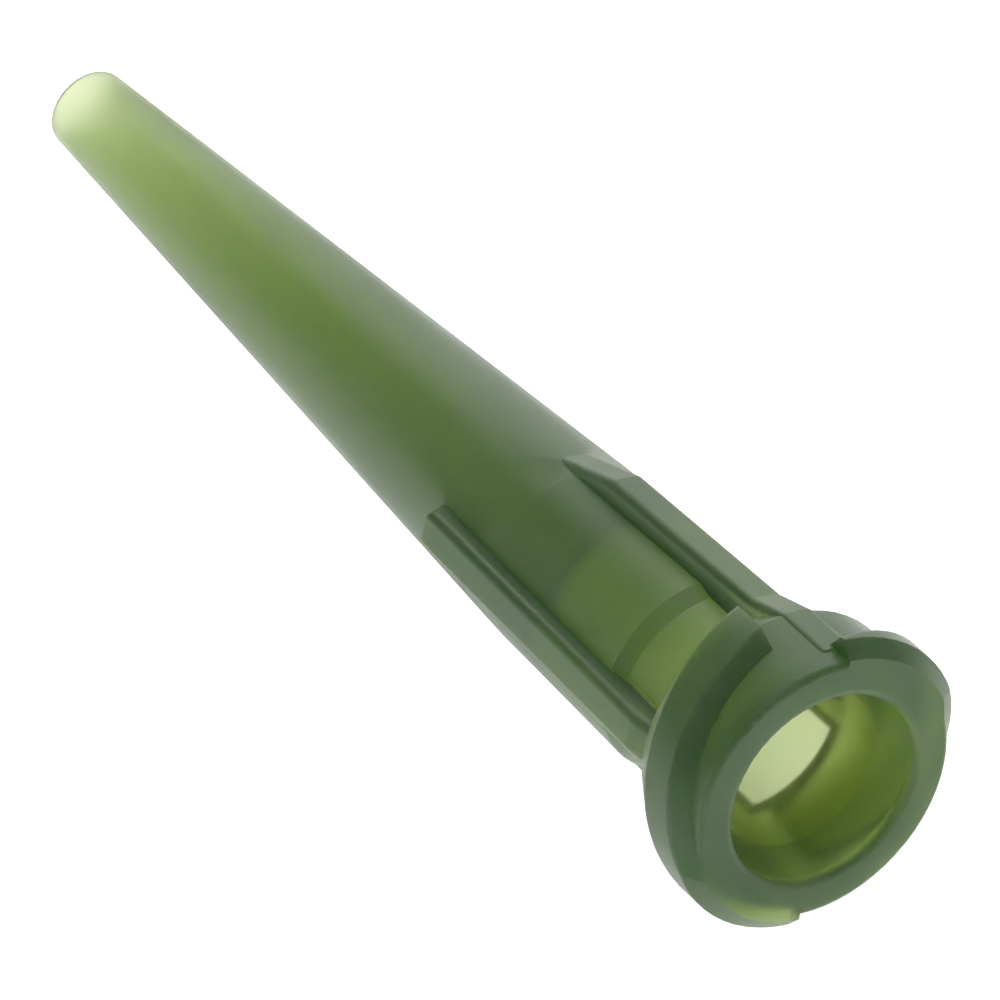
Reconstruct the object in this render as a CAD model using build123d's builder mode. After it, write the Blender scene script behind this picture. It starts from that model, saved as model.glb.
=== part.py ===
"""Tapered dispensing tip with a female Luer-lock hub, moulded in one piece.

Lengths are in millimetres.  The origin is the centre of the mouth face, the
flow axis is +Y from the mouth to the outlet, and angles about the axis are
measured from +X towards +Z.
"""

import math
import os

from build123d import *

os.makedirs("parts", exist_ok=True)

# ---------------------------------------------------------------- whole part
overall_length = 32.0
edge_round = 0.16           # radius on the edges of the collar and the lugs

# --------------------------------------------------------------- Luer socket
socket_mouth_dia = 4.30     # bore at the mouth plane, before the lead-in
socket_taper = 0.06         # loss of diameter per unit of length
socket_depth = 8.40
lip_dia = 5.34              # where the rounded lip meets the mouth face
lip_depth = 0.22
lead_in_dia = 4.90          # just inside the lip
lead_in_depth = 1.10        # where the lead-in cone reaches the taper

# ------------------------------------------------------------- flow passage
outlet_dia = 1.60           # 14 gauge
outlet_land = 1.00          # parallel length at the outlet
throat_dia = 2.70           # just past the socket floor
throat_shoulder = 0.35      # length of the step from socket to throat

# -------------------------------------------------------------- hub outside
ring_dia = 6.84             # collar that carries the lugs
ring_length = 2.90
ring_bevel = 0.60           # length of the sloping back of the collar
ring_bevel_drop = 0.34
waist_dia = 4.92            # thin band behind the collar
waist_end = 4.80
panel_dia = 5.14            # skin between the ribs, at the end of the waist
waist_step = 0.50           # length of the step from waist to panel

# ---------------------------------------------------------------- long cone
cone_start = 10.50
cone_start_dia = 4.84
tip_dia = 2.08
tip_round = 0.09

# ----------------------------------------------------------------- Luer lugs
lug_dia = 7.70
lug_lead = 5.00             # two starts, so 2.5 between neighbouring lugs
lug_crest = 1.00            # axial width of the flat crest
lug_flank = 0.35            # axial run of each sloping flank
lug_overrun = 0.50          # crest edge past the mouth face where a lug stops
lug_bevel = 0.36            # on the mouth side of the crest
lug_gap = 20.0              # clear angle between the lugs, centred on +Z and -Z
lug_count = 2

# ---------------------------------------------------------------------- ribs
rib_width = 1.00
rib_round = 0.22            # radius along both edges of the crest
rib_height = 3.17           # from the axis to the crest, at the collar
rib_draft = 0.038           # loss of that height per unit of length
rib_short_end = 11.25       # where the short pair runs out into the cone
rib_short_ramp = 2.00
rib_short_angle = 78.75
rib_long_end = 12.95        # where the long pair runs out into the cone
rib_long_ramp = 0.25
rib_long_angle = rib_short_angle + 90
gusset_length = 0.60        # flare of each rib up to the collar
pad_height = 3.45           # short ribs carried on over the collar, from the axis
pad_start = 0.35

# ------------------------------------------------------- sizes that follow
ring_radius = ring_dia / 2
lug_radius = lug_dia / 2
cone_fall = (cone_start_dia - tip_dia) / 2 / (overall_length - cone_start)
gusset_end = ring_length + gusset_length
seam = 0.30                 # depth to which added pieces are sunk into the hub


def cone_radius(y):
    """Outside radius of the long cone at height y."""
    return cone_start_dia / 2 - cone_fall * (y - cone_start)


def rib_crest(y):
    """Distance of the rib crest from the axis at height y."""
    return rib_height - rib_draft * (y - ring_length)


def socket_radius(y):
    """Radius of the Luer taper at height y."""
    return (socket_mouth_dia - socket_taper * y) / 2


# One lug, wound about its own z axis from its mouth end, where it runs a
# little past the mouth face.
lug_sweep = 360 / lug_count - lug_gap
lug_rise = lug_lead * lug_sweep / 360
lug_foot = ring_radius - seam
foot_spread = lug_flank * (lug_radius - lug_foot) / (lug_radius - ring_radius)

with BuildPart() as lug:
    with BuildLine() as lug_path:
        Helix(pitch=lug_lead, height=lug_rise, radius=ring_radius)
    with BuildSketch(Plane.XZ) as lug_section:
        with BuildLine():
            Polyline(
                (lug_foot, -lug_overrun - foot_spread),
                (lug_radius, -lug_overrun),
                (lug_radius, lug_crest - lug_overrun),
                (lug_foot, lug_crest - lug_overrun + foot_spread),
                close=True,
            )
        make_face()
        fillet(lug_section.vertices().group_by(Axis.X)[-1], edge_round)
    sweep(path=lug_path.line, is_frenet=True)

# One rib of each length, standing on +X.  The short rib runs on over the
# collar as a low pad; the long rib stops at the collar.
with BuildPart() as short_rib:
    with BuildSketch(Plane.XY):
        with BuildLine():
            Polyline(
                (socket_radius(0) + seam, pad_start),
                (ring_radius - seam, pad_start - edge_round),
                (pad_height, pad_start + seam),
                (pad_height, ring_length - ring_bevel),
                (rib_crest(gusset_end), gusset_end),
                (rib_crest(rib_short_end - rib_short_ramp), rib_short_end - rib_short_ramp),
                (cone_radius(rib_short_end), rib_short_end),
                (cone_radius(rib_short_end) - seam, rib_short_end),
                (socket_radius(0) + seam / 2, cone_start - rib_short_ramp),
                close=True,
            )
        make_face()
    extrude(amount=rib_width / 2, both=True)
    crest_edges = short_rib.edges().filter_by(lambda edge: abs(abs(edge.center().Z) - rib_width / 2) < 1e-4)
    fillet(crest_edges.filter_by(lambda edge: edge.center().X > cone_start_dia / 2), rib_round)

with BuildPart() as long_rib:
    with BuildSketch(Plane.XY):
        with BuildLine():
            Polyline(
                (socket_radius(0) + seam, ring_length - ring_bevel),
                (ring_radius - seam, ring_length - ring_bevel),
                (ring_radius - ring_bevel_drop, ring_length),
                (rib_crest(gusset_end), gusset_end),
                (rib_crest(rib_long_end - rib_long_ramp), rib_long_end - rib_long_ramp),
                (cone_radius(rib_long_end), rib_long_end),
                (cone_radius(rib_long_end) - seam, rib_long_end),
                (socket_radius(0) + seam / 2, cone_start - rib_long_ramp),
                close=True,
            )
        make_face()
    extrude(amount=rib_width / 2, both=True)
    crest_edges = long_rib.edges().filter_by(lambda edge: abs(abs(edge.center().Z) - rib_width / 2) < 1e-4)
    fillet(crest_edges.filter_by(lambda edge: edge.center().X > cone_start_dia / 2), rib_round)

with BuildPart() as tip:
    # Outside of the collar, the waist, the panels and the long cone.
    with BuildSketch(Plane.XY) as outline:
        with BuildLine():
            Polyline(
                (0, 0),
                (ring_radius, 0),
                (ring_radius, ring_length - ring_bevel),
                (ring_radius - ring_bevel_drop, ring_length),
                (waist_dia / 2, ring_length),
                (waist_dia / 2, waist_end),
                (panel_dia / 2, waist_end + waist_step),
                (cone_start_dia / 2, cone_start),
                (tip_dia / 2, overall_length),
                (0, overall_length),
                close=True,
            )
        make_face()
        fillet(outline.vertices().group_by(Axis.X)[-1], edge_round)
        fillet(outline.vertices().group_by(Axis.Y)[-1].sort_by(Axis.X)[-1], tip_round)
    revolve(axis=Axis.Y)

    # Four grip ribs: a short pair and a long pair.
    for half_turn in (0, 180):
        add(short_rib.part.rotate(Axis.Y, -rib_short_angle - half_turn))
        add(long_rib.part.rotate(Axis.Y, -rib_long_angle - half_turn))

    # The lugs, evenly spaced, trimmed flush with the mouth face and with the
    # collar's back, and bevelled on the mouth side.
    with BuildPart(mode=Mode.PRIVATE) as lugs:
        for number in range(lug_count):
            turn = math.radians(270 - lug_gap / 2 + 360 / lug_count * number)
            seat = Plane(
                origin=(0, 0, 0),
                x_dir=(math.cos(turn), 0, math.sin(turn)),
                z_dir=(0, 1, 0),
            )
            add(lug.part.moved(seat.location))
        with BuildSketch(Plane.XY):
            with BuildLine():
                Polyline(
                    (0, 0),
                    (lug_radius - lug_bevel, 0),
                    (lug_radius + seam, lug_bevel + seam),
                    (lug_radius + seam, ring_length),
                    (0, ring_length),
                    close=True,
                )
            make_face()
        revolve(axis=Axis.Y, mode=Mode.INTERSECT)
    add(lugs.part)

    # Luer socket, throat and tapered flow passage.
    with BuildSketch(Plane.XY):
        with BuildLine():
            Polyline(
                (lip_dia / 2, 0),
                (0, 0),
                (0, overall_length),
                (outlet_dia / 2, overall_length),
                (outlet_dia / 2, overall_length - outlet_land),
                (throat_dia / 2, socket_depth + throat_shoulder),
                (socket_radius(socket_depth), socket_depth),
                (socket_radius(lead_in_depth), lead_in_depth),
                (lead_in_dia / 2, lip_depth),
            )
            EllipticalCenterArc(
                (lip_dia / 2, lip_depth),
                (lip_dia - lead_in_dia) / 2,
                lip_depth,
                start_angle=180,
                arc_size=90,
            )
        make_face()
    revolve(axis=Axis.Y, mode=Mode.SUBTRACT)

tip.part.label = "tip_moulding"

export_step(tip.part, "parts/tip_moulding.step")
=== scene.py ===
"""Tapered dispensing tip with a female Luer-lock hub, lying on a pale table.

One injection-moulded piece of translucent green polyethylene.  Metres, in the
part's own frame: +Y runs from the mouth to the outlet and +Z is up.
"""

import math

import bpy
from mathutils import Matrix, Vector


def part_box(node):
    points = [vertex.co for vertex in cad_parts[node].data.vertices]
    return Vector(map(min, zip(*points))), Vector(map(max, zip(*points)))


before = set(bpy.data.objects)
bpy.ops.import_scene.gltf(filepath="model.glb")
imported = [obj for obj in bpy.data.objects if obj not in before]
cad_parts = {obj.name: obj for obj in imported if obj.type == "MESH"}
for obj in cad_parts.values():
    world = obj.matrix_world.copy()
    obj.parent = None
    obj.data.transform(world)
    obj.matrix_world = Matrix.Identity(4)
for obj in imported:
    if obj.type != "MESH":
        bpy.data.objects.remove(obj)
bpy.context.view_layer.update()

# ------------------------------------------------------------- Tip moulding
# Hub, lugs, ribs and cone are one shot of green low-density polyethylene.
# The skin is satin from the tool's spark-eroded surface, and the plastic is
# cloudy, so a thin wall glows yellow-green and a thick one goes dark.
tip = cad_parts["tip_moulding"]
tip_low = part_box("tip_moulding")[0]

pit_size = 0.00012          # pits that the spark-eroded mould leaves in the skin
pit_depth = 0.000004
streak_size = 0.0016        # haze drawn out along the flow of the melt
streak_stretch = 0.25
skin_ior = 1.51
skin_specular = 0.22
smoothest_skin = 0.36
roughest_skin = 0.48
haze_share = 0.10           # of the light, the rest goes through the clear plastic
haze_reach = 0.001
green_filter = (0.507, 0.570, 0.130, 1)
green_filter_density = 2700

polyethylene = bpy.data.materials.new("green_polyethylene")
polyethylene.use_nodes = True
nodes, links = polyethylene.node_tree.nodes, polyethylene.node_tree.links
nodes.clear()
output = nodes.new("ShaderNodeOutputMaterial")
clear = nodes.new("ShaderNodeBsdfPrincipled")
cloudy = nodes.new("ShaderNodeBsdfPrincipled")
blend = nodes.new("ShaderNodeMixShader")
depth = nodes.new("ShaderNodeVolumeAbsorption")
place = nodes.new("ShaderNodeTexCoord")

# Haze: soft streaks along the axis, from a deeper green to a paler one.
flow = nodes.new("ShaderNodeMapping")
flow.inputs["Scale"].default_value = (1, streak_stretch, 1)
haze = nodes.new("ShaderNodeTexNoise")
haze.inputs["Scale"].default_value = 1 / streak_size
haze.inputs["Detail"].default_value = 4
links.new(place.outputs["Object"], flow.inputs["Vector"])
links.new(flow.outputs["Vector"], haze.inputs["Vector"])
for shader, deep_tint, pale_tint in (
    (clear, (0.93, 0.96, 0.88, 1), (0.97, 0.98, 0.95, 1)),
    (cloudy, (0.33, 0.68, 0.26, 1), (0.47, 0.80, 0.41, 1)),
):
    tint = nodes.new("ShaderNodeValToRGB")
    tint.color_ramp.elements[0].position = 0.35
    tint.color_ramp.elements[0].color = deep_tint
    tint.color_ramp.elements[1].position = 0.65
    tint.color_ramp.elements[1].color = pale_tint
    links.new(haze.outputs["Fac"], tint.inputs["Fac"])
    links.new(tint.outputs["Color"], shader.inputs["Base Color"])

# Skin: fine pits, and a shine that changes a little with the streaks.
pits = nodes.new("ShaderNodeTexNoise")
pits.inputs["Scale"].default_value = 1 / pit_size
pits.inputs["Detail"].default_value = 2
shine = nodes.new("ShaderNodeMapRange")
shine.inputs["From Min"].default_value = 0.3
shine.inputs["From Max"].default_value = 0.7
shine.inputs["To Min"].default_value = smoothest_skin
shine.inputs["To Max"].default_value = roughest_skin
relief = nodes.new("ShaderNodeBump")
relief.inputs["Strength"].default_value = 0.6
relief.inputs["Distance"].default_value = pit_depth
links.new(place.outputs["Object"], pits.inputs["Vector"])
links.new(haze.outputs["Fac"], shine.inputs["Value"])
links.new(pits.outputs["Fac"], relief.inputs["Height"])
for shader in (clear, cloudy):
    shader.inputs["IOR"].default_value = skin_ior
    shader.inputs["Specular IOR Level"].default_value = skin_specular
    links.new(shine.outputs["Result"], shader.inputs["Roughness"])
    links.new(relief.outputs["Normal"], shader.inputs["Normal"])

# Body: clear green plastic that filters light through its depth, with the haze in it.
clear.inputs["Transmission Weight"].default_value = 1.0
clear.inputs["Specular Tint"].default_value = (0.60, 0.70, 0.52, 1)
cloudy.inputs["Subsurface Weight"].default_value = 1.0
cloudy.inputs["Subsurface Radius"].default_value = (1.0, 1.3, 0.5)
cloudy.inputs["Subsurface Scale"].default_value = haze_reach
blend.inputs[0].default_value = haze_share
depth.inputs["Color"].default_value = green_filter
depth.inputs["Density"].default_value = green_filter_density
links.new(clear.outputs["BSDF"], blend.inputs[1])
links.new(cloudy.outputs["BSDF"], blend.inputs[2])
links.new(blend.outputs[0], output.inputs["Surface"])
links.new(depth.outputs["Volume"], output.inputs["Volume"])

tip.data.materials.clear()
tip.data.materials.append(polyethylene)

# -------------------------------------------------------------------- Table
# A matt white painted board with a faint mottle.  It is given a glow, painted light
# that fills in the tip's shadow so that no shadow shows.  It is wide enough to fill
# every view.
table_size = 4.0
table_painted_glow = 0.98
paint_mottle_size = 0.003
bpy.ops.object.select_all(action="DESELECT")
bpy.ops.mesh.primitive_plane_add(size=table_size, location=(0, 0, tip_low.z))
table = bpy.context.object
table.name = "table"
table.data.transform(table.matrix_world)
table.matrix_world = Matrix.Identity(4)

table_paint = bpy.data.materials.new("matt_white_table")
table_paint.use_nodes = True
table_skin = table_paint.node_tree.nodes["Principled BSDF"]
table_nodes, table_links = table_paint.node_tree.nodes, table_paint.node_tree.links
table_place = table_nodes.new("ShaderNodeTexCoord")
paint_mottle = table_nodes.new("ShaderNodeTexNoise")
paint_mottle.inputs["Scale"].default_value = 1 / paint_mottle_size
paint_tone = table_nodes.new("ShaderNodeValToRGB")
paint_tone.color_ramp.elements[0].color = (0.88, 0.88, 0.88, 1)
paint_tone.color_ramp.elements[1].color = (0.92, 0.92, 0.92, 1)
table_links.new(table_place.outputs["Object"], paint_mottle.inputs["Vector"])
table_links.new(paint_mottle.outputs["Fac"], paint_tone.inputs["Fac"])
table_links.new(paint_tone.outputs["Color"], table_skin.inputs["Base Color"])
table_skin.inputs["Roughness"].default_value = 0.9
table_skin.inputs["Specular IOR Level"].default_value = 0.1
# Painted light: the board glows white, which washes out the shadow under the tip.
table_skin.inputs["Emission Color"].default_value = (1, 1, 1, 1)
table_skin.inputs["Emission Strength"].default_value = table_painted_glow
table.data.materials.append(table_paint)

# ------------------------------------------------------------------- Lights
# A white room gives the even light.  One broad soft lamp stands over the far
# right side of the tip, and a weaker one hangs overhead.
room_strength = 0.40
room = bpy.data.worlds.new("white_room")
room.use_nodes = True
room.node_tree.nodes["Background"].inputs["Color"].default_value = (1, 1, 1, 1)
room.node_tree.nodes["Background"].inputs["Strength"].default_value = room_strength
bpy.context.scene.world = room

lamp_distance = 0.7
for lamp_name, direction, side, power in (
    ("softbox", Vector((0.50, 0.65, 0.55)), 0.7, 3.0),
    ("overhead_lamp", Vector((-0.10, 0.05, 1.0)), 0.5, 1.0),
):
    lamp_data = bpy.data.lights.new(lamp_name, "AREA")
    lamp_data.shape = "SQUARE"
    lamp_data.size = side
    lamp_data.energy = power
    lamp = bpy.data.objects.new(lamp_name, lamp_data)
    bpy.context.scene.collection.objects.link(lamp)
    lamp.location = direction.normalized() * lamp_distance
    lamp.rotation_euler = lamp.location.to_track_quat("Z", "Y").to_euler()

# ------------------------------------------------------------------- Camera
# A long lens close to the mouth end, looking down along the tip.
camera_turn = math.radians(-33.227)
camera_rise = math.radians(35.994)
camera_roll = math.radians(0.927)
camera_distance = 0.400
sensor_width = 36           # millimetres
view_width = 0.0227467      # width of the view at the mouth
mouth_right_of_aim = 0.0073852
mouth_below_aim = 0.0066168

back = Vector((
    math.sin(camera_turn) * math.cos(camera_rise),
    -math.cos(camera_turn) * math.cos(camera_rise),
    math.sin(camera_rise),
))
level = Vector((math.cos(camera_turn), math.sin(camera_turn), 0))
upright = back.cross(level)
right = level * math.cos(camera_roll) + upright * math.sin(camera_roll)
up = upright * math.cos(camera_roll) - level * math.sin(camera_roll)
eye = back * camera_distance - right * mouth_right_of_aim + up * mouth_below_aim

camera_data = bpy.data.cameras.new("camera")
camera = bpy.data.objects.new("camera", camera_data)
bpy.context.scene.collection.objects.link(camera)
camera.matrix_world = Matrix((
    (right.x, up.x, back.x, eye.x),
    (right.y, up.y, back.y, eye.y),
    (right.z, up.z, back.z, eye.z),
    (0, 0, 0, 1),
))
camera_data.sensor_width = sensor_width
camera_data.lens = sensor_width * camera_distance / view_width
camera_data.clip_start = 0.01
camera_data.clip_end = 10
bpy.context.scene.camera = camera
bpy.context.scene.view_settings.view_transform = "Standard"
